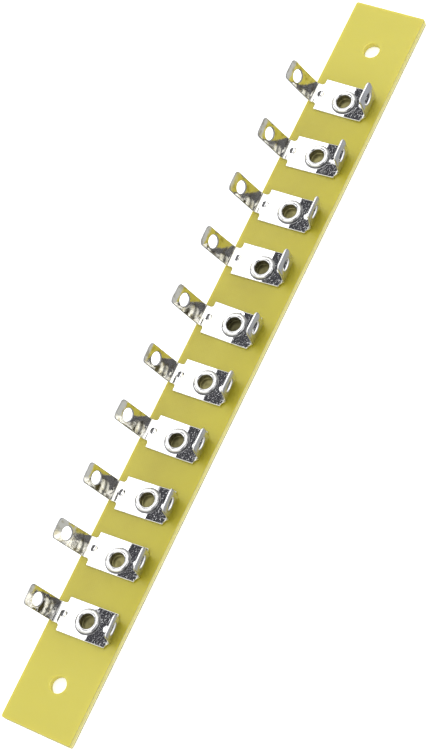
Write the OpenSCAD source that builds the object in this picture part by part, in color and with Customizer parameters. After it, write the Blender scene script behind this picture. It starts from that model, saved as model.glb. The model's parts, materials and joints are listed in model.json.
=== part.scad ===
// Solder terminal strip: a plain laminate board with a row of folded double solder lugs,
// each fixed in the middle of the board by a semi-tubular rivet.
// X runs along the row, Y across the board, Z up. The origin is midway between the two
// mounting holes, on the board's underside.

/* [Board] */
// Thickness of the laminate
board_t = 1.6; // [1:0.1:3]
// Width of the board
board_w = 14.5; // [12.5:0.5:24]
// Distance from each end of the board to its mounting hole
hole_inset = 9; // [5:0.5:12]
// Distance from each mounting hole to the nearest rivet
hole_to_rivet = 12; // [8:0.5:20]
// Diameter of the mounting holes
hole_d = 3.2; // [2.5:0.1:4]
// Radius that eases the board's corners
corner_r = 0.4; // [0.2:0.1:2]

/* [Row] */
// Distance from one terminal to the next
pitch = 12; // [8:0.5:16]

/* [Rivet] */
// Diameter of the rivet's blind bore
bore_d = 3; // [2:0.1:3.4]
// Depth of the bore, from the top of the bead
bore_depth = 1.7; // [1.3:0.1:2.2]
// Wall of the rivet's tube
tube_wall = 0.25; // [0.15:0.05:0.4]
// Gap between the tube and the holes that it passes through
tube_gap = 0.05; // [0.02:0.01:0.1]
// Radius of the rolled bead at the top
bead_r = 0.36; // [0.28:0.02:0.5]
// Width of the flat foot under the bead, from the bore outwards
foot_w = 0.6; // [0.5:0.05:0.7]
// Diameter of the flange under the board
flange_d = 5; // [4.6:0.1:6]
// Thickness of the flange under the board
flange_t = 0.35; // [0.2:0.05:0.6]

/* [Lug] */
// Thickness of the sheet that the lug is stamped from
sheet_t = 0.4; // [0.3:0.05:0.6]
// Width of the plate that lies on the board
plate_w = 6.5; // [5.8:0.1:8]
// Inside radius of the two folds
fold_r = 0.5; // [0.3:0.05:0.8]
// Radius of the rounded corners at the tips of the tabs
tip_r = 0.9; // [0.4:0.1:1.4]
// Diameter of the wire eye in each tab
eye_d = 2.5; // [1.5:0.1:2.8]
// Distance from the tip to the middle of the eye
eye_inset = 2.9; // [2.2:0.1:3.6]
// Depth to which the riveting presses the plate down round the bead
seat_depth = 0.05; // [0.02:0.01:0.1]
// Width of the pressed ring outside the bead
seat_rim = 0.25; // [0.1:0.05:0.4]
// Diameter of the two punched dimples
dimple_d = 1.4; // [0.8:0.1:1.8]
// Depth of the two punched dimples
dimple_depth = 0.2; // [0.1:0.02:0.26]
// Distance from each dimple to the fold beside it
dimple_inset = 1; // [0.9:0.1:1.4]
// One step of the lugs' shifts off their true places
set_step = 0.1; // [0:0.01:0.12]

/* [Back of the lug, towards +Y] */
// Distance from the rivet to the plate's shoulder
back_reach = 5.25; // [4.4:0.05:5.6]
// Flat neck between the shoulder and the fold
back_neck = 0.85; // [0.6:0.05:1.6]
// Radius in the corner between the shoulder and the neck
back_relief = 0.5; // [0.2:0.05:0.6]
// Lean of the tab, outwards from upright
back_lean = 22; // [5:1:40]
// Length of the tab, from the fold to its tip
back_tab_l = 8; // [6:0.1:12]
// Width of the tab
back_tab_w = 4; // [3:0.1:5]

/* [Front of the lug, towards -Y] */
// Distance from the rivet to the plate's shoulder
front_reach = 4.75; // [4.4:0.05:5.6]
// Flat neck between the shoulder and the fold
front_neck = 0.1; // [0.05:0.05:1.6]
// Radius in the corner between the shoulder and the tab
front_relief = 1.1; // [0.4:0.05:1.2]
// Lean of the tab, outwards from upright
front_lean = 9; // [6:1:40]
// Length of the tab, from the fold to its tip
front_tab_l = 5.9; // [5.2:0.1:12]
// Width of the tab
front_tab_w = 4.4; // [3:0.1:5]
// Angle by which the front half of the plate lifts off the board
front_lift = 3; // [0:0.5:5]

/* [Hidden] */
$fn = 48;
ways = 10;
row_l = (ways - 1) * pitch;
hole_x = row_l / 2 + hole_to_rivet;
board_l = 2 * (hole_x + hole_inset);
bore_r = bore_d / 2;
tube_r = bore_r + tube_wall;
tube_hole_r = tube_r + tube_gap;
bead_outer_r = bore_r + 2 * bead_r;
seat_r = bead_outer_r + seat_rim;
seat_z = board_t + sheet_t - seat_depth;
bore_floor_z = max(seat_z + 2 * bead_r - bore_depth, 0);
// How each lug was set by hand: steps along the row, steps across the board, turn on the rivet,
// lean added to the back tab and lean added to the front tab
sits = [
    [4, 1, 0, 2, -5.5],
    [0, 0, 2, -1, -2],
    [1, 2, 1, -1, 3],
    [6, 3, 2, 5, -3.5],
    [-2, 3, -1, -1, -2],
    [-1, 2, 1, -3, 3],
    [3, 0, 0.5, 2, 1],
    [-1, 2, 3, -3, 1],
    [6, 2, 2, 3, 1.5],
    [-1, -2, 2, -3, 5],
];
// How far a cutting shape runs past the surface that it cuts
over = 1;
// How far two shapes of one piece run into each other
lap = 0.1;

function two_digits(i) = i < 10 ? str("0", i) : str(i);
function terminal_name(i) = str("terminal_", two_digits(i));
function rivet_name(i) = str("rivet_", two_digits(i));
// Place of a terminal along the row, counted from the +X end
function place(i) = row_l / 2 - (i - 1) * pitch;

// Flat outline with four rounded corners
module rounded_plate(l, w, r) {
    square([l - 2 * r, w], center = true);
    square([l, w - 2 * r], center = true);
    for (x = [-1, 1], y = [-1, 1])
        translate([x * (l / 2 - r), y * (w / 2 - r)]) circle(r);
}

module board() {
    color([0.86, 0.83, 0.42])
    linear_extrude(board_t)
    difference() {
        rounded_plate(board_l, board_w, corner_r);
        for (side = [-1, 1])
            translate([side * hole_x, 0]) circle(d = hole_d);
        for (i = [1 : ways])
            translate([place(i), 0]) circle(tube_hole_r);
    }
}

// Flat tab with a rounded tip and a wire eye, lying on z = 0 and running from x = 0
module flat_tab(tab_l, tab_w) {
    linear_extrude(sheet_t)
    difference() {
        union() {
            translate([0, -tab_w / 2]) square([tab_l - tip_r, tab_w]);
            translate([tab_l - tip_r, tip_r - tab_w / 2]) square([tip_r, tab_w - 2 * tip_r]);
            for (side = [-1, 1])
                translate([tab_l - tip_r, side * (tab_w / 2 - tip_r)]) circle(tip_r);
        }
        translate([tab_l - eye_inset, 0]) circle(d = eye_d);
    }
}

// Curved part of the sheet, round the line x = z = 0, from straight below it to the given turn
module fold(turn) {
    reach = fold_r + sheet_t + over;
    ring_w = plate_w + 2 * over;
    half = [reach, ring_w + over, 2 * reach];
    intersection() {
        rotate([90, 0, 0])
        difference() {
            cylinder(r = fold_r + sheet_t, h = ring_w, center = true);
            cylinder(r = fold_r, h = ring_w + over, center = true);
        }
        translate([reach / 2, 0, 0]) cube(half, center = true);
        rotate([0, -turn, 0])
        translate([-reach / 2, 0, 0]) cube(half, center = true);
    }
}

// Tongue inside the sheet, from the fold into the tab, so that they never just touch
module tongue(tab_w) {
    translate([-lap, lap - tab_w / 2, lap]) cube([2 * lap, tab_w - 2 * lap, sheet_t - 2 * lap]);
}

// Flat outline of half a lug: the plate up to its shoulders, then the neck with filleted corners
module half_outline(reach, neck, relief, tab_w) {
    step = (plate_w - tab_w) / 2;
    fillet_r = min(relief, step);
    fold_end = reach + neck + fold_r + sheet_t;
    translate([-over, -plate_w / 2]) square([reach + over, plate_w]);
    translate([0, -tab_w / 2]) square([fold_end + over, tab_w]);
    for (side = [0, 1])
        mirror([0, side])
        translate([reach, tab_w / 2])
        difference() {
            translate([-over, -over]) square(fillet_r + over);
            translate([fillet_r, fillet_r]) circle(fillet_r);
        }
}

// Punched dimple in the top of the sheet
module dimple() {
    ball_r = (dimple_d * dimple_d / 4 + dimple_depth * dimple_depth) / (2 * dimple_depth);
    translate([0, 0, sheet_t - dimple_depth + ball_r]) sphere(ball_r);
}

// Half of a lug: plate, neck, fold and tab, running along +x from the rivet's axis
module half_lug(reach, neck, relief, turn, tab_l, tab_w) {
    bend_x = reach + neck;
    difference() {
        intersection() {
            union() {
                translate([0, -plate_w / 2 - over, 0]) cube([bend_x, plate_w + 2 * over, sheet_t]);
                translate([bend_x, 0, fold_r + sheet_t]) fold(turn);
            }
            translate([0, 0, -over])
            linear_extrude(fold_r + sheet_t + 2 * over)
            half_outline(reach, neck, relief, tab_w);
        }
        translate([bend_x - dimple_inset, 0, 0]) dimple();
    }
    translate([bend_x, 0, fold_r + sheet_t])
    rotate([0, -turn, 0])
    translate([0, 0, -fold_r - sheet_t]) {
        flat_tab(tab_l, tab_w);
        tongue(tab_w);
    }
}

// Whole lug, lying on z = 0 with its rivet's place at the origin and its front along +x
module lug(back_turn, front_turn) {
    rotate(180)
    half_lug(back_reach, back_neck, back_relief, back_turn, back_tab_l, back_tab_w);
    rotate([0, -front_lift, 0])
    half_lug(front_reach, front_neck, front_relief, front_turn - front_lift, front_tab_l, front_tab_w);
}

// Lug as it sits on the board, bored and pressed down for its rivet
module terminal(i) {
    sit = sits[i - 1];
    color([0.84, 0.84, 0.85])
    translate([place(i), 0, board_t])
    difference() {
        translate(set_step * [sit[0], sit[1], 0])
        rotate(sit[2] - 90)
        lug(90 - back_lean - sit[3], 90 - front_lean - sit[4]);
        translate([0, 0, -over]) cylinder(r = tube_hole_r, h = sheet_t + 2 * over);
        translate([0, 0, sheet_t - seat_depth]) cylinder(r = seat_r, h = over);
    }
}

// Rivet: a flange below the board, a shank through it, a blind bore and a rolled bead on the lug
module rivet(i) {
    color([0.78, 0.78, 0.79])
    translate([place(i), 0, 0])
    rotate_extrude() {
        translate([0, -flange_t]) square([flange_d / 2 - flange_t / 2, flange_t]);
        translate([flange_d / 2 - flange_t / 2, -flange_t / 2]) circle(flange_t / 2);
        translate([0, -flange_t]) square([tube_r, flange_t + bore_floor_z]);
        translate([bore_r, -flange_t]) square([tube_wall, flange_t + seat_z + bead_r]);
        translate([bore_r, seat_z]) square([foot_w, bead_r]);
        translate([bore_r + bead_r, seat_z + bead_r]) circle(bead_r);
    }
}

board();
for (i = [1 : ways]) terminal(i);
for (i = [1 : ways]) rivet(i);
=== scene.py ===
# Solder terminal strip on a white studio table
import json
import math

import bpy
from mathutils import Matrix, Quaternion, Vector

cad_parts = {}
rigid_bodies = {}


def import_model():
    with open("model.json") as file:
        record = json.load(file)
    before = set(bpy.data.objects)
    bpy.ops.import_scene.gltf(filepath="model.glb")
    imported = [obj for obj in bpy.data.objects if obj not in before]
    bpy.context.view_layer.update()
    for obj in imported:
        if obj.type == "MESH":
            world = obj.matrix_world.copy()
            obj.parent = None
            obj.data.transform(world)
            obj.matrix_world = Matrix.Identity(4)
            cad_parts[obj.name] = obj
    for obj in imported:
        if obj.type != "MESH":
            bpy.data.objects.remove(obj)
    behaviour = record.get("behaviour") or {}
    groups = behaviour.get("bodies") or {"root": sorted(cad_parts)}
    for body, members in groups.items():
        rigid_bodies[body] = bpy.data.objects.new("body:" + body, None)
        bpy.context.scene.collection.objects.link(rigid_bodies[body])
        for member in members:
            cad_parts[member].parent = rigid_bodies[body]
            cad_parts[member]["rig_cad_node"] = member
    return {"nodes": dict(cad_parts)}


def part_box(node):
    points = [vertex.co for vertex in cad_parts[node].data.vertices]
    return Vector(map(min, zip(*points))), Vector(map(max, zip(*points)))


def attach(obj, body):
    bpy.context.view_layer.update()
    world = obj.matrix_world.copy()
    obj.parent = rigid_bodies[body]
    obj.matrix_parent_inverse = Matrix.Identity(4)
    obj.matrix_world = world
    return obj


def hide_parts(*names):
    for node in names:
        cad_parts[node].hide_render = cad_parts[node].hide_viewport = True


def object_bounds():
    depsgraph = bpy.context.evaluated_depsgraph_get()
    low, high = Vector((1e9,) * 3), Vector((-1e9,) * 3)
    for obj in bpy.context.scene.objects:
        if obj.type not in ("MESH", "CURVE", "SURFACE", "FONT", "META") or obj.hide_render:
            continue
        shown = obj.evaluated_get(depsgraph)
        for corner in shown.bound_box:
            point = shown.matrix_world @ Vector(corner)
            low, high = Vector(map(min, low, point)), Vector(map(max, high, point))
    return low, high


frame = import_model()
cadLow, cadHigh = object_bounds()
mm = 0.001
ways = 10  # lugs in the row
print("frame loaded:", len(frame["nodes"]), "nodes")


def plug(value, place):  # a number, a colour or another socket
    if isinstance(value, Signal):
        place.id_data.links.new(value.socket, place)
    else:
        place.default_value = value


class Signal:  # a shader socket that takes part in Python maths
    def __init__(self, socket):
        self.socket = socket

    def maths(self, operation, first, second=0.0):
        made = self.socket.id_data.nodes.new("ShaderNodeMath")
        made.operation = operation
        plug(first, made.inputs[0])
        plug(second, made.inputs[1])
        return Signal(made.outputs[0])

    def __add__(self, other):
        return self.maths("ADD", self, other)

    def __sub__(self, other):
        return self.maths("SUBTRACT", self, other)

    def __rsub__(self, other):
        return self.maths("SUBTRACT", other, self)

    def __mul__(self, other):
        return self.maths("MULTIPLY", self, other)

    __radd__ = __add__
    __rmul__ = __mul__

    def sine(self):
        return self.maths("SINE", self)

    def size(self):
        return self.maths("ABSOLUTE", self)


class Finish:  # one material and the nodes that make it
    def __init__(self, name):
        self.material = bpy.data.materials.new(name)
        self.material.use_nodes = True
        self.tree = self.material.node_tree
        self.surface = self.tree.nodes["Principled BSDF"].inputs

    def node(self, kind, settings=None, sockets=None, out=0):  # settings first, then values or links
        made = self.tree.nodes.new("ShaderNode" + kind)
        for key, value in (settings or {}).items():
            if key == "stops":
                ramp = made.color_ramp.elements
                while len(ramp) < len(value):
                    ramp.new(0.5)
                for stop, (place, colour) in zip(ramp, value):
                    stop.position = place
                    stop.color = colour
            else:
                setattr(made, key, value)
        for key, value in (sockets or {}).items():
            plug(value, made.inputs[key])
        return Signal(made.outputs[out])

    def place(self):  # where a point is on the piece, in millimetres
        spot = self.node("TexCoord", out="Object")
        return self.node("VectorMath", {"operation": "SCALE"}, {0: spot, "Scale": 1 / mm})

    def along(self, where, axis):  # one coordinate of a point
        return self.node("SeparateXYZ", sockets={0: where}, out=axis)

    def noise(self, where, size, detail, stretch=None):  # cloudy pattern with blobs of this size
        if stretch:
            where = self.node("Mapping", sockets={"Vector": where, "Scale": stretch})
        return self.node("TexNoise", sockets={"Vector": where, "Scale": 1 / size, "Detail": detail})

    def ramp(self, value, stops):  # colours by place
        return self.node("ValToRGB", {"stops": stops}, {"Fac": value})

    def mask(self, value, start, end):  # black up to start, white from end on
        return self.ramp(value, ((start, grey(0.0)), (end, grey(1.0))))

    def rise(self, value, start, end, top=1.0, easing="LINEAR"):  # 0 at start, top at end
        limits = {"From Min": start, "From Max": end, "To Max": top}
        return self.node("MapRange", {"interpolation_type": easing}, {"Value": value, **limits})

    def blend(self, mask, first, second):  # first where the mask is 0, second where it is 1
        colours = {6: first, 7: second}  # Mix has its colours here, and its mixed colour at 2
        return self.node("Mix", {"data_type": "RGBA"}, {0: mask, **colours}, out=2)

    def relief(self, height):  # height in millimetres
        bumped = self.node("Bump", sockets={"Height": height, "Distance": mm})
        plug(bumped, self.surface["Normal"])


def shade(red, green, blue):
    return (red, green, blue, 1.0)


def grey(value):
    return shade(value, value, value)


noiseMiddle = 0.5  # noise runs about this

# sizes and depths of all finishes are in millimetres
laminate = {
    "bright": shade(0.385, 0.338, 0.035), "deep": shade(0.33, 0.285, 0.026),
    # end: paler towards both ends, painted light standing in for the shade the lugs cast on the middle
    "end": shade(0.43, 0.385, 0.050), "endFrom": 48.0, "endTo": 70.0, "endDrift": 6.0,
    # front: towards the front edge the yellow turns deeper and more saturated, painted shade like the
    # soft shade beside the front tabs
    "front": shade(0.36, 0.318, 0.014), "frontFrom": 3.0, "frontTo": -8.0, "frontDrift": 2.0,
    "mottle": 9.0, "deepFrom": 0.3, "deepTo": 0.7,
    "speck": 0.35, "speckTone": 0.18, "speckRoughness": 0.1,
    "weavePitch": 0.55, "weaveDepth": 0.0016, "weaveTone": 0.05,
    "warp": 5.0, "warpDepth": 0.01,
    "roughness": 0.42,
    "glow": {
        "Subsurface Weight": 0.35, "Subsurface Radius": (1.0, 0.85, 0.25), "Subsurface Scale": 2.5 * mm,
    },
}


def letLightIn(finish):  # light spreads a little way inside the laminate
    for socket, value in laminate["glow"].items():
        finish.surface[socket].default_value = value


def laminateFinish():
    finish = Finish("laminate")
    where = finish.place()
    x, y = finish.along(where, "X"), finish.along(where, "Y")
    turn = 2 * math.pi / laminate["weavePitch"]
    weave = (x * turn).sine() * (y * turn).sine()
    cloud = finish.noise(where, laminate["mottle"], detail=3.0)
    speck = finish.noise(where, laminate["speck"], detail=1.0) - noiseMiddle
    tone = cloud + weave * laminate["weaveTone"] + speck * laminate["speckTone"]
    deep = finish.mask(tone, laminate["deepFrom"], laminate["deepTo"])
    colour = finish.blend(deep, laminate["bright"], laminate["deep"])
    # painted shade: deeper, more saturated yellow towards the front edge
    forward = y + cloud * laminate["frontDrift"]
    front = finish.rise(forward, laminate["frontFrom"], laminate["frontTo"])
    colour = finish.blend(front, colour, laminate["front"])
    # painted light: the ends paler than the middle, which the lugs shade
    outward = x.size() + cloud * laminate["endDrift"]
    end = finish.rise(outward, laminate["endFrom"], laminate["endTo"], easing="SMOOTHSTEP")
    plug(finish.blend(end, colour, laminate["end"]), finish.surface["Base Color"])
    plug(laminate["roughness"] + speck * laminate["speckRoughness"], finish.surface["Roughness"])
    warp = finish.noise(where, laminate["warp"], detail=2.0)
    finish.relief(weave * laminate["weaveDepth"] + warp * laminate["warpDepth"])
    letLightIn(finish)
    return finish.material


sawn = {
    # the mounting holes' walls: a brighter laminate colour, painted light inside the holes
    "hole": (shade(0.62, 0.56, 0.13), shade(0.54, 0.49, 0.10)),
    "bands": (  # share of the thickness, from the underside, and colour: a dark lowest band, painted shadow of the gap over the table, a pale line above it and a darker line at the top
        (0.0, shade(0.16, 0.155, 0.11)), (0.14, shade(0.16, 0.155, 0.11)),
        (0.28, shade(0.54, 0.52, 0.30)), (0.5, shade(0.43, 0.395, 0.13)),
        (0.9, shade(0.43, 0.395, 0.13)), (0.97, shade(0.22, 0.205, 0.095)),
    ),
    "thickness": 1.6, "bandDrift": 0.1, "resinShare": 0.25,
    "layer": 0.12, "layerStretch": (0.05, 0.05, 1.0), "layerTone": 0.6, "layerDepth": 0.01,
    "fibre": 0.15, "fibreTone": 0.4, "fibreDepth": 0.012, "fibreRoughness": 0.2,
    "toneFrom": 0.35, "toneTo": 0.65,
    "roughness": 0.55,
}


def sawnFinish(name, inHole):
    finish = Finish(name)
    where = finish.place()
    layers = finish.noise(where, sawn["layer"], detail=2.0, stretch=sawn["layerStretch"])
    fibres = finish.noise(where, sawn["fibre"], detail=2.0)
    tone = layers * sawn["layerTone"] + fibres * sawn["fibreTone"]
    resin = finish.mask(tone, sawn["toneFrom"], sawn["toneTo"])
    if inHole:
        # hole walls painted brighter than the laminate, as painted light inside the holes
        colour = finish.blend(resin, *sawn["hole"])
    else:
        # the sides' colour by height: dark at the underside as painted shadow over the table
        height = finish.along(where, "Z") * (1 / sawn["thickness"])
        share = height + (fibres - noiseMiddle) * sawn["bandDrift"]
        bands = finish.ramp(share, sawn["bands"])
        colour = finish.blend(resin * sawn["resinShare"], bands, laminate["bright"])
    plug(colour, finish.surface["Base Color"])
    plug(sawn["roughness"] + fibres * sawn["fibreRoughness"], finish.surface["Roughness"])
    finish.relief(layers * sawn["layerDepth"] + fibres * sawn["fibreDepth"])
    letLightIn(finish)
    return finish.material


# what all the tinned finishes share, and two kinds of grain
tinSkin = {"film": 1.6, "dullFrom": 0.52, "dullTo": 0.75, "dullRoughness": 0.08, "grainRoughness": 0.08}
fineGrain = {"grain": 0.12, "grainDepth": 0.003, "wave": 0.6, "waveDepth": 0.006}
boreGrain = {"grain": 0.3, "grainDepth": 0.004, "wave": 0.9, "waveDepth": 0.01}

lugFinishes = {  # in the order of the lug's material slots
    "lugSheared": {
        "clean": grey(0.86), "dull": grey(0.7), "roughness": 0.4,
        "grain": 0.12, "grainDepth": 0.004, "wave": 0.6, "waveDepth": 0.01,
    },
    "lugTin": {
        "clean": shade(0.76, 0.76, 0.775), "dull": grey(0.64), "roughness": 0.06,
        "grain": 0.24, "grainDepth": 0.0014, "wave": 3.5, "waveDepth": 0.008,
        # tab: brighter and warmer than the plate's tin, a painted reflection of the yellow board
        "tab": shade(0.94, 0.915, 0.79), "tabFrom": 6.0, "tabTo": 6.8, "tabDepth": 0.006,
        "stained": shade(0.62, 0.57, 0.40), "stain": 1.1, "stainFrom": 0.5, "stainTo": 0.66,
        "roughFrom": -0.9, "roughTo": -1.5, "roughGrain": 0.42, "roughDepth": 0.023,
    },
    "lugUnderside": {
        "clean": shade(0.70, 0.70, 0.72), "dull": shade(0.60, 0.60, 0.61), "roughness": 0.2,
        "grain": 0.25, "grainDepth": 0.0015, "wave": 3.0, "waveDepth": 0.01,
    },
    # the seat ring is dark: painted shade in the crease around the rivet's bead
    "lugSeatShade": {"clean": grey(0.2), "dull": shade(0.12, 0.12, 0.115), "roughness": 0.35, **fineGrain},
    # the eye's wall is dark: painted shade inside the tab's eye
    "lugEyeShade": {
        "clean": shade(0.27, 0.27, 0.28), "dull": shade(0.16, 0.16, 0.15), "roughness": 0.3,
        **fineGrain,
    },
    # the tabs' rounded edges are dark: painted shade along their edges
    "lugRolledShade": {"clean": grey(0.40), "dull": shade(0.24, 0.24, 0.23), "roughness": 0.3, **fineGrain},
    # near black: painted dark reflection on the dimple's front-facing side
    "lugDimpleShade": {"clean": grey(0.11), "dull": grey(0.06), "roughness": 0.4, **fineGrain},
}
lugSlots = {name: slot for slot, name in enumerate(lugFinishes)}

rivetFinishes = {  # in the order of the rivet's material slots
    "rivetTin": {
        "clean": grey(0.74), "dull": shade(0.56, 0.555, 0.54), "roughness": 0.12,
        "grain": 0.22, "grainDepth": 0.0012, "wave": 1.2, "waveDepth": 0.006,
    },
    # the bore's floor: dark olive, painted shade deep in the blind bore
    "rivetBoreShade": {
        "clean": shade(0.22, 0.20, 0.09), "dull": shade(0.11, 0.10, 0.04), "roughness": 0.3,
        "darkest": shade(0.035, 0.033, 0.018), **boreGrain,
    },
    "rivetWall": {
        "clean": shade(0.52, 0.49, 0.36), "dull": shade(0.36, 0.34, 0.24), "roughness": 0.45,
        **boreGrain,
    },
}
rivetSlots = {name: slot for slot, name in enumerate(rivetFinishes)}


def tinFinish(name, tin):
    finish = Finish(name)
    where = finish.place()
    grain = finish.noise(where, tin["grain"], detail=2.5)
    wave = finish.noise(where, tin["wave"], detail=1.0)
    film = finish.noise(where, tinSkin["film"], detail=4.0)
    dull = finish.mask(film, tinSkin["dullFrom"], tinSkin["dullTo"])
    colour = finish.blend(dull, tin["clean"], tin["dull"])
    height = grain * tin["grainDepth"] + wave * tin["waveDepth"]
    if "tab" in tin:  # the back tabs get a brighter, warmer tin than the plate, a painted reflection of the yellow board, with a warm stain, and the front is grainier
        y = finish.along(where, "Y")
        onTab = finish.rise(y, tin["tabFrom"], tin["tabTo"])
        blots = finish.noise(where, tin["stain"], detail=3.0)
        stain = finish.mask(blots, tin["stainFrom"], tin["stainTo"])
        colour = finish.blend(onTab, colour, finish.blend(stain, tin["tab"], tin["stained"]))
        depth = finish.rise(y, tin["roughFrom"], tin["roughTo"], tin["roughDepth"])
        depth = depth + onTab * tin["tabDepth"]
        height = height + finish.noise(where, tin["roughGrain"], detail=3.0) * depth
    if "darkest" in tin:  # each rivet's mesh says how much darker its bore floor is painted, as painted shade
        share = finish.node("Attribute", {"attribute_name": "stain"}, out="Fac")
        colour = finish.blend(share, colour, tin["darkest"])
    plug(colour, finish.surface["Base Color"])
    uneven = (grain - noiseMiddle) * tinSkin["grainRoughness"] + dull * tinSkin["dullRoughness"]
    plug(tin["roughness"] + uneven, finish.surface["Roughness"])
    finish.surface["Metallic"].default_value = 1.0
    finish.relief(height)
    return finish.material


# angles in degrees: what counts as flat, as an edge to round and as a smooth turn
shaping = {"flatAngle": 0.3, "edgeAngle": 60, "smoothAngle": 50, "flatWeight": 100}


def workOn(piece):  # only this piece is selected
    bpy.ops.object.select_all(action="DESELECT")
    piece.select_set(True)
    bpy.context.view_layer.objects.active = piece


def copyOf(nodeName, pieceName, weld):  # merged copy of a CAD node, left in edit mode
    workOn(frame["nodes"][nodeName])
    bpy.ops.object.duplicate()
    piece = bpy.context.active_object
    piece.name = pieceName
    piece.data.name = pieceName
    del piece["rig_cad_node"]
    piece.data.materials.clear()
    bpy.ops.object.mode_set(mode="EDIT")
    bpy.ops.mesh.select_all(action="SELECT")
    bpy.ops.mesh.remove_doubles(threshold=weld)
    bpy.ops.mesh.dissolve_limited(angle_limit=math.radians(shaping["flatAngle"]))
    return piece


def addMaterials(piece, materials):
    for material in materials:
        piece.data.materials.append(material)


def selectEdges(piece, sharpness, wanted):  # sharp edges whose middle is wanted
    bpy.ops.mesh.select_mode(type="EDGE")
    bpy.ops.mesh.select_all(action="DESELECT")
    bpy.ops.mesh.edges_select_sharp(sharpness=math.radians(sharpness))
    bpy.ops.object.mode_set(mode="OBJECT")
    points = piece.data.vertices
    for edge in piece.data.edges:
        middle = (points[edge.vertices[0]].co + points[edge.vertices[1]].co) / 2
        edge.select = edge.select and wanted(middle / mm)
    bpy.ops.object.mode_set(mode="EDIT")


def smoothPiece(piece):  # rounded edges shade smoothly, flat faces stay flat
    bpy.ops.object.mode_set(mode="OBJECT")
    bpy.ops.object.shade_smooth_by_angle(angle=math.radians(shaping["smoothAngle"]))
    steady = piece.modifiers.new("flatFaces", "WEIGHTED_NORMAL")
    steady.keep_sharp = True
    steady.weight = shaping["flatWeight"]
    bpy.ops.object.modifier_apply(modifier=steady.name)


def finishPiece(piece, nodeName):
    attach(piece, "root")
    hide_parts(nodeName)


board = {
    "weld": 0.002 * mm,
    "easing": 0.07 * mm, "easingSteps": 2,
    "level": 0.98, "levelInHole": 0.5,  # a face that points up or down by less than this is sawn
    "holeReach": 2.0 * mm,  # holes are this near the middle line
    "holeEnd": 5.0 * mm,  # and this far from the ends
}
boardSlots = {"sides": 1, "holes": 2}  # the top and the underside keep slot 0


def makeBoard():
    piece = copyOf("board", "laminateBoard", board["weld"])
    top = laminateFinish()
    sides = sawnFinish("laminateSides", inHole=False)
    holes = sawnFinish("laminateHolesPaintedLight", inHole=True)
    addMaterials(piece, (top, sides, holes))
    selectEdges(piece, shaping["edgeAngle"], lambda middle: True)
    bpy.ops.mesh.bevel(offset=board["easing"], segments=board["easingSteps"], clamp_overlap=False)
    smoothPiece(piece)
    finishPiece(piece, "board")
    for face in piece.data.polygons:
        x, y = abs(face.center.x), abs(face.center.y)
        inHole = y < board["holeReach"] and x < cadHigh.x - board["holeEnd"]
        if abs(face.normal.z) < board["levelInHole" if inHole else "level"]:
            face.material_index = boardSlots["holes" if inHole else "sides"]


lug = {  # millimetres and degrees, with distances from the rivet's axis
    "weld": 0.018 * mm,
    "rollover": 0.1 * mm, "rolloverSteps": 2,  # the rounding of the sheet's edges
    "level": 0.9, "sideTurn": 50,  # how level the plate is, and the sharpest turn within one side
    "plateZ": 2.0, "onPlane": 0.004, "flatReach": 0.03 * mm,  # the plate's top, and what is near it
    "plateTop": 2.6, "backEnd": 5.9, "frontEnd": 4.8,  # the plate stays below and within these
    "seatZ": 1.95, "seatReach": 2.55,  # the ring that the riveting pressed
    "dimpleFrom": 3.5, "dimpleSide": 1.6,  # the back dimple is beyond the first, within the second
    "dimpleMark": 0.15, "rimAngle": 8,  # where its dark side starts, and how sharp its rim is
    "lift": 3.0, "bendAt": 1.1, "bendBand": 0.45, "bendAngle": 1.5,  # the slope of the plate's front
    "tabFrom": 3.2, "backFrom": 6.5, "frontFrom": 5.0,  # the tabs are above and beyond these
    "eyeReach": 1.5, "tipClear": 1.0,  # an eye is this near the tab's middle and this far below its tip
    "sameFacing": 0.9999, "bowCuts": 12,  # what counts as a tab's flat, and in how many strips it bows
    "frontBow": 10.0,  # from base to tip of every front tab
    "bows": (8, 5, 6, 10, 6, 5, 7, 4, 6, 3),  # from base to tip of each back tab
    "tilts": (3.0, 0.5, 0.0, 5.0, 0.5, 0.0, 2.0, 0.0, 1.0, 0.0),  # how far each back tab stands up more
    "curlFrom": 0.82,  # share of the tab's length
    "curls": (6, 5, 1, 5, 5, 4, 3, 7, 0, 3),  # how far the end of each back tab curls out
}


def facesWith(piece, finishName):
    return [face for face in piece.data.polygons if face.material_index == lugSlots[finishName]]


def largest(faces):
    return max(faces, key=lambda face: face.area)


def paintSide(piece, upwards, finishName):  # one smooth side of the sheet, from its largest level face
    bpy.ops.mesh.select_mode(type="FACE")
    bpy.ops.mesh.select_all(action="DESELECT")
    bpy.ops.object.mode_set(mode="OBJECT")
    level = [face for face in piece.data.polygons if face.normal.z * upwards > lug["level"]]
    largest(level).select = True
    bpy.ops.object.mode_set(mode="EDIT")
    bpy.ops.mesh.faces_select_linked_flat(sharpness=math.radians(lug["sideTurn"]))
    bpy.ops.object.mode_set(mode="OBJECT")
    for face in piece.data.polygons:
        if face.select:
            face.material_index = lugSlots[finishName]
    bpy.ops.object.mode_set(mode="EDIT")


def paintSeat(piece, axis):  # the ring that the riveting pressed, still unpainted, painted dark as shade around the bead
    bpy.ops.object.mode_set(mode="OBJECT")
    for face in facesWith(piece, "lugSheared"):
        if (face.center / mm - axis).xy.length < lug["seatReach"]:
            face.material_index = lugSlots["lugSeatShade"]
    bpy.ops.object.mode_set(mode="EDIT")


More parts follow.
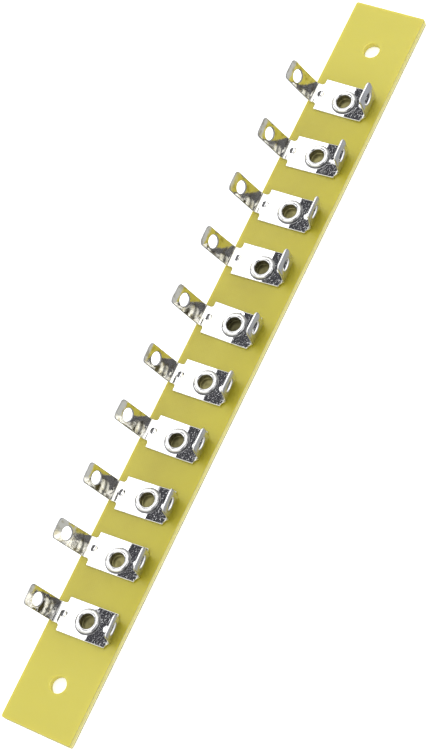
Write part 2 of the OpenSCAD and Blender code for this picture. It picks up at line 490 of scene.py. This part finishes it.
def paintEye(piece, axis):  # the sheared wall of the back tab's eye, painted dark as shade inside the eye
    bpy.ops.object.mode_set(mode="OBJECT")
    walls = [
        face for face in facesWith(piece, "lugSheared")
        if face.center.z > lug["tabFrom"] * mm and face.center.y > axis.y * mm]
    across = [face.center.x for face in walls]
    middle = (min(across) + max(across)) / 2
    tip = max(face.center.z for face in walls) - lug["tipClear"] * mm
    for face in walls:
        if abs(face.center.x - middle) < lug["eyeReach"] * mm and face.center.z < tip:
            face.material_index = lugSlots["lugEyeShade"]
    bpy.ops.object.mode_set(mode="EDIT")


def inDimple(spot, axis):  # about the back dimple, seen from above
    beside, along = abs(spot.x - axis.x), spot.y - axis.y
    return beside < lug["dimpleSide"] and lug["dimpleFrom"] < along < lug["backEnd"]


def paintDimple(piece, axis):  # the side of the back dimple that faces the front, painted near black as a dark reflection
    bpy.ops.object.mode_set(mode="OBJECT")
    rim = (lug["plateZ"] - lug["onPlane"]) * mm
    hollow = [
        face for face in facesWith(piece, "lugTin")
        if face.center.z < rim and inDimple(face.center / mm, axis)]
    along = [face.center.y for face in hollow]
    middle = (min(along) + max(along)) / 2
    for face in hollow:
        if face.center.y - middle > lug["dimpleMark"] * mm:
            face.material_index = lugSlots["lugDimpleShade"]
    bpy.ops.object.mode_set(mode="EDIT")


def flattenPlate(piece, axis, side, end):  # points that merging pulled off the plate's top go back
    def onHalf(spot):
        return 0 <= (spot.y - axis.y) * side < end and spot.z < lug["plateTop"]

    bpy.ops.object.mode_set(mode="OBJECT")
    top = largest([face for face in facesWith(piece, "lugTin") if onHalf(face.center / mm)])
    facing, level = top.normal.copy(), top.normal.dot(top.center)
    for point in piece.data.vertices:
        off = point.co.dot(facing) - level
        if onHalf(point.co / mm) and abs(off) < lug["flatReach"]:
            point.co -= facing * off
    bpy.ops.object.mode_set(mode="EDIT")


def cutFaces(piece, wanted, place, facing):  # a straight cut through the wanted faces
    bpy.ops.mesh.select_mode(type="FACE")
    bpy.ops.mesh.select_all(action="DESELECT")
    bpy.ops.object.mode_set(mode="OBJECT")
    for face in piece.data.polygons:
        face.select = wanted(face.center / mm)
    bpy.ops.object.mode_set(mode="EDIT")
    bpy.ops.mesh.bisect(plane_co=place, plane_no=facing)


def bowTab(piece, axis, side, start, bow, tilt, curl):  # a tab stands up, bows and curls out at its tip
    def onTab(spot):
        return (spot.y - axis.y) * side > start and spot.z > lug["tabFrom"]

    bpy.ops.object.mode_set(mode="OBJECT")
    inner = [face for face in facesWith(piece, "lugTin") if onTab(face.center / mm)]
    facing = largest(inner).normal.copy()
    along = facing.cross(Vector((0, 0, 1)).cross(facing)).normalized()
    points = piece.data.vertices
    flat = [face for face in inner if face.normal.dot(facing) > lug["sameFacing"]]
    reach = [points[index].co.dot(along) for face in flat for index in face.vertices]
    base, length = min(reach), max(reach) - min(reach)
    bpy.ops.object.mode_set(mode="EDIT")
    for step in range(1, lug["bowCuts"]):
        cutFaces(piece, onTab, along * (base + length * step / lug["bowCuts"]), along)
    bpy.ops.object.mode_set(mode="OBJECT")
    rise, depth = length * math.radians(tilt), length * math.radians(bow) / 2
    roll = length * math.radians(curl) / (2 * (1 - lug["curlFrom"]))
    for point in piece.data.vertices:
        part = (point.co.dot(along) - base) / length
        if (point.co.y / mm - axis.y) * side > start and part > 0:
            tip = max(part - lug["curlFrom"], 0) ** 2
            point.co += facing * (rise * part - depth * part * (1 - part) - roll * tip)
    bpy.ops.object.mode_set(mode="EDIT")


def layPlate(piece, axis):  # the riveting holds the plate flat a little past the rivet, then it lifts
    def onFront(spot):
        return 0 < axis.y - spot.y < lug["frontEnd"] and spot.z < lug["plateTop"]

    cutFaces(piece, onFront, (0, (axis.y - lug["bendAt"]) * mm, 0), (0, 1, 0))
    bpy.ops.object.mode_set(mode="OBJECT")
    slope = math.tan(math.radians(lug["lift"]))
    steeper = slope * lug["frontEnd"] / (lug["frontEnd"] - lug["bendAt"])
    for point in piece.data.vertices:
        spot = point.co / mm
        if onFront(spot) and abs(spot.z - lug["seatZ"]) > lug["onPlane"]:
            forward = axis.y - spot.y
            point.co.z += (steeper * max(forward - lug["bendAt"], 0) - slope * forward) * mm
    bpy.ops.object.mode_set(mode="EDIT")


def rollEdges(piece, axis):  # punching rounds the sheet's edges; on the tabs they are painted dark as shade along the edges, and those of the plate are bright
    def offSeat(middle):
        return (middle - axis).xy.length > lug["seatReach"]

    selectEdges(piece, shaping["edgeAngle"], offSeat)
    bpy.ops.mesh.bevel(
        offset=lug["rollover"], segments=lug["rolloverSteps"], clamp_overlap=False,
        material=lugSlots["lugRolledShade"])
    bpy.ops.object.mode_set(mode="OBJECT")
    for face in facesWith(piece, "lugRolledShade"):
        if face.center.z < lug["plateTop"] * mm:
            face.material_index = lugSlots["lugSheared"]
    bpy.ops.object.mode_set(mode="EDIT")


def markBreaks(piece, axis):  # the plate's bend and the dimple's rim stay crisp
    def onBend(middle):
        return abs(middle.y - axis.y + lug["bendAt"]) < lug["bendBand"]

    def onRim(middle):
        return abs(middle.z - lug["plateZ"]) < lug["onPlane"] and inDimple(middle, axis)

    for angle, wanted in ((lug["bendAngle"], onBend), (lug["rimAngle"], onRim)):
        selectEdges(piece, angle, wanted)
        bpy.ops.mesh.mark_sharp()


def makeLug(index, materials):
    nodeName = f"terminal_{index:02d}"
    piece = copyOf(nodeName, f"solderLug{index:02d}", lug["weld"])
    addMaterials(piece, materials)
    rivetLow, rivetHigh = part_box(f"rivet_{index:02d}")
    axis = (rivetLow + rivetHigh) / 2 / mm
    paintSide(piece, 1, "lugTin")
    paintSide(piece, -1, "lugUnderside")
    flattenPlate(piece, axis, 1, lug["backEnd"])
    flattenPlate(piece, axis, -1, lug["frontEnd"])
    paintSeat(piece, axis)
    paintEye(piece, axis)
    paintDimple(piece, axis)
    bow, tilt, curl = [lug[key][index - 1] for key in ("bows", "tilts", "curls")]
    bowTab(piece, axis, 1, lug["backFrom"], bow, tilt, curl)
    bowTab(piece, axis, -1, lug["frontFrom"], lug["frontBow"], 0, 0)
    layPlate(piece, axis)
    rollEdges(piece, axis)
    markBreaks(piece, axis)
    smoothPiece(piece)
    finishPiece(piece, nodeName)


rivet = {  # millimetres
    "flangeR": 2.5, "flangeT": 0.35, "tubeR": 1.75,
    "seatZ": lug["seatZ"], "footR": 2.1, "beadR": 0.36, "rollIn": 0.14,
    "boreR": 1.5, "floorZ": 0.97, "floorRound": 0.25,
    "wallTop": 2.2, "wallSlack": 0.01, "floorLevel": 0.5,  # what is painted as the bore's wall or floor
    "sides": 96, "lipSteps": 8, "beadSteps": 24, "floorSteps": 4, "weld": 0.001 * mm,
    "boreShades": (0.2, 0.0, 0.1, 0.6, 0.85, 0.1, 0.5, 0.15, 0.0, 0.4),  # how dark each bore's floor is painted: painted shade deep in the bore
}


def rivetRings():  # radius and height of each ring, from the flange over the bead to the bore's floor
    lip = rivet["flangeT"] / 2
    beadX, beadZ = rivet["boreR"] + rivet["beadR"], rivet["seatZ"] + rivet["beadR"]
    first = -math.acos((rivet["footR"] - beadX) / rivet["beadR"])
    inner = rivet["beadR"] + rivet["rollIn"]
    last = 2 * math.pi - math.acos(-rivet["beadR"] / inner)
    rings = []
    for step in range(rivet["lipSteps"] + 1):
        angle = math.pi * (step / rivet["lipSteps"] - 0.5)
        rings.append((rivet["flangeR"] - lip + lip * math.cos(angle), lip * math.sin(angle) - lip))
    rings += [(rivet["tubeR"], 0.0), (rivet["tubeR"], rivet["seatZ"]), (rivet["footR"], rivet["seatZ"])]
    for step in range(rivet["beadSteps"] + 1):
        angle = first + (last - first) * step / rivet["beadSteps"]
        width = rivet["beadR"] if math.cos(angle) > 0 else inner
        rings.append((beadX + width * math.cos(angle), beadZ + rivet["beadR"] * math.sin(angle)))
    for step in range(rivet["floorSteps"] + 1):
        angle = math.pi / 2 * step / rivet["floorSteps"]
        rings.append((
            rivet["boreR"] - rivet["floorRound"] * (1 - math.cos(angle)),
            rivet["floorZ"] + rivet["floorRound"] * (1 - math.sin(angle)),
        ))
    return rings


def modelRivet(materials):  # one rivet on the axis x = y = 0, drawn up from a disc
    rings = rivetRings()
    bpy.ops.object.select_all(action="DESELECT")
    radius, height = rings[0]
    bpy.ops.mesh.primitive_circle_add(
        vertices=rivet["sides"], radius=radius * mm, fill_type="NGON", location=(0, 0, height * mm))
    model = bpy.context.active_object
    bpy.ops.object.transform_apply(location=True, rotation=True, scale=True)
    bpy.ops.object.mode_set(mode="EDIT")
    bpy.ops.mesh.select_all(action="SELECT")
    for (radius, height), (newRadius, newHeight) in zip(rings, rings[1:]):
        bpy.ops.mesh.extrude_region_move(
            TRANSFORM_OT_translate={"value": (0, 0, (newHeight - height) * mm)})
        grow = newRadius / radius
        bpy.ops.transform.resize(value=(grow, grow, 1), center_override=(0, 0, newHeight * mm))
    bpy.ops.mesh.select_all(action="SELECT")
    bpy.ops.mesh.remove_doubles(threshold=rivet["weld"])
    bpy.ops.mesh.normals_make_consistent(inside=False)
    smoothPiece(model)
    addMaterials(model, materials)
    for face in model.data.polygons:
        inside = face.center.xy.length < (rivet["boreR"] + rivet["wallSlack"]) * mm
        if inside and 0 < face.center.z < rivet["wallTop"] * mm:
            onFloor = face.normal.z > rivet["floorLevel"]
            face.material_index = rivetSlots["rivetBoreShade" if onFloor else "rivetWall"]
    return model


def placeRivet(model, index):
    nodeName = f"rivet_{index:02d}"
    low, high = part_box(nodeName)
    workOn(model)
    bpy.ops.object.duplicate()
    piece = bpy.context.active_object
    piece.name = f"tubularRivet{index:02d}"
    piece.data.name = piece.name
    piece.location = ((low.x + high.x) / 2, (low.y + high.y) / 2, 0)
    bpy.ops.object.transform_apply(location=True, rotation=True, scale=True)
    # the share of painted shade on this rivet's bore floor, towards the darkest
    stain = piece.data.attributes.new("stain", "FLOAT", "POINT")
    stain.data.foreach_set("value", [rivet["boreShades"][index - 1]] * len(piece.data.vertices))
    finishPiece(piece, nodeName)


makeBoard()
print("board done")
lugMaterials = [tinFinish(name, tin) for name, tin in lugFinishes.items()]
rivetModel = modelRivet([tinFinish(name, tin) for name, tin in rivetFinishes.items()])
for index in range(1, ways + 1):
    makeLug(index, lugMaterials)
    placeRivet(rivetModel, index)
workOn(rivetModel)
bpy.ops.object.delete()
print("lugs and rivets done")


table = {  # metres, with the paper's fibre in millimetres
    "size": 4.0, "paper": grey(0.9), "fibre": 0.4, "fibreShade": grey(0.88),
    "mirrored": shade(0.32, 0.33, 0.36), "unlit": grey(0.0), "roughness": 0.8, "glow": 0.5,
}


def makeTable():
    bpy.ops.object.select_all(action="DESELECT")
    bpy.ops.mesh.primitive_plane_add(size=table["size"], location=(0, 0, cadLow.z))
    top = bpy.context.active_object
    top.name = "table"
    finish = Finish("tablePaper")
    fibre = finish.noise(finish.place(), table["fibre"], detail=3.0)
    paper = finish.blend(fibre, table["paper"], table["fibreShade"])
    seen = 1.0 - finish.node("LightPath", out="Is Glossy Ray")  # the metal mirrors a greyer paper
    plug(finish.blend(seen, table["mirrored"], paper), finish.surface["Base Color"])
    plug(finish.blend(seen, table["unlit"], table["paper"]), finish.surface["Emission Color"])
    finish.surface["Roughness"].default_value = table["roughness"]
    finish.surface["Emission Strength"].default_value = table["glow"]
    addMaterials(top, [finish.material])


def turned(centre, aim):
    return (Vector(aim) - Vector(centre)).to_track_quat("-Z", "Y").to_euler()


lights = {  # metres
    "tent": 1.3, "tentColour": grey(1.0),  # radiance all round
    "lamps": {  # centre, aim, width, height, radiance
        "overhead": ((0.15, 0.105, 0.5), (0.15, 0.105, 0.0), 0.6, 0.33, 1.2),
        "leftWall": ((0.1, 0.62, 0.35), (0.1, 0.0, 0.35), 1.4, 0.6, 0.4),
        "rightWall": ((0.0, -0.72, 0.22), (0.0, 0.0, 0.1), 1.4, 0.4, 1.2),
    },
    "unmirrored": ("rightWall",),
}


def makeLights():
    for name, (centre, aim, width, height, radiance) in lights["lamps"].items():
        data = bpy.data.lights.new(name, "AREA")
        data.shape = "RECTANGLE"
        data.size, data.size_y = width, height
        data.energy = radiance * math.pi * width * height
        lamp = bpy.data.objects.new(name, data)
        bpy.context.scene.collection.objects.link(lamp)
        lamp.location = centre
        lamp.rotation_euler = turned(centre, aim)
        lamp.visible_glossy = name not in lights["unmirrored"]
    world = bpy.data.worlds.new("tent")
    world.use_nodes = True
    sky = world.node_tree.nodes["Background"].inputs
    sky["Color"].default_value = lights["tentColour"]
    sky["Strength"].default_value = lights["tent"]
    bpy.context.scene.world = world


cards = {  # metres, with the felt in thousandths of a card: dark cards that only the metal mirrors
    "places": {  # centre, aim, width, height, grey
        "darkBand": ((0.15, 0.362, 0.5), (0.15, 0.362, 0.0), 0.9, 0.18, 0.03),
        "darkCamera": ((-0.106, -0.190, 0.389), (0.0, 0.0, 0.0), 0.26, 0.26, 0.03),
        "darkRight": ((0.05, -0.60, 0.22), (0.05, 0.0, 0.0), 1.6, 0.44, 0.075),
    },
    "felt": 6.0, "pale": (1.2, 1.2, 1.4), "deep": (0.7, 0.7, 0.8), "roughness": 0.9,
}


def feltFinish(name, level):
    finish = Finish(name)
    felt = finish.noise(finish.place(), cards["felt"], detail=3.0)
    pale, deep = [shade(*(level * share for share in cards[tone])) for tone in ("pale", "deep")]
    plug(finish.blend(felt, pale, deep), finish.surface["Base Color"])
    finish.surface["Roughness"].default_value = cards["roughness"]
    return finish.material


def makeCards():
    for name, (centre, aim, width, height, level) in cards["places"].items():
        bpy.ops.object.select_all(action="DESELECT")
        bpy.ops.mesh.primitive_plane_add(size=1, location=centre, rotation=turned(centre, aim))
        card = bpy.context.active_object
        card.name = name
        card.scale = (width, height, 1)
        addMaterials(card, [feltFinish(name + "Felt", level)])
        card.visible_camera = False
        card.visible_diffuse = False
        card.visible_shadow = False


camera = {  # degrees and millimetres, with clip in metres
    "azimuth": -29.26, "elevation": 60.76, "roll": -37.69,
    "target": (-4.02, -0.58, 1.6), "distance": 394.8,
    "lens": 105.0, "sensor": 36.0, "clip": (0.01, 20.0),
}


def makeCamera():
    data = bpy.data.cameras.new("camera")
    data.sensor_width = camera["sensor"]
    data.lens = camera["lens"]
    data.clip_start, data.clip_end = camera["clip"]
    eye = bpy.data.objects.new("camera", data)
    bpy.context.scene.collection.objects.link(eye)
    azimuth, elevation = math.radians(camera["azimuth"]), math.radians(camera["elevation"])
    back = Vector((
        math.sin(azimuth) * math.cos(elevation),
        -math.cos(azimuth) * math.cos(elevation),
        math.sin(elevation),
    ))
    eye.location = Vector(camera["target"]) * mm + back * camera["distance"] * mm
    level = (-back).to_track_quat("-Z", "Y")
    eye.rotation_mode = "QUATERNION"
    eye.rotation_quaternion = level @ Quaternion((0, 0, 1), math.radians(camera["roll"]))
    bpy.context.scene.camera = eye


makeTable()
makeLights()
makeCards()
makeCamera()
look = bpy.context.scene.view_settings
look.view_transform = "Standard"
look.look = "None"
look.exposure = 0.0
print("studio done")
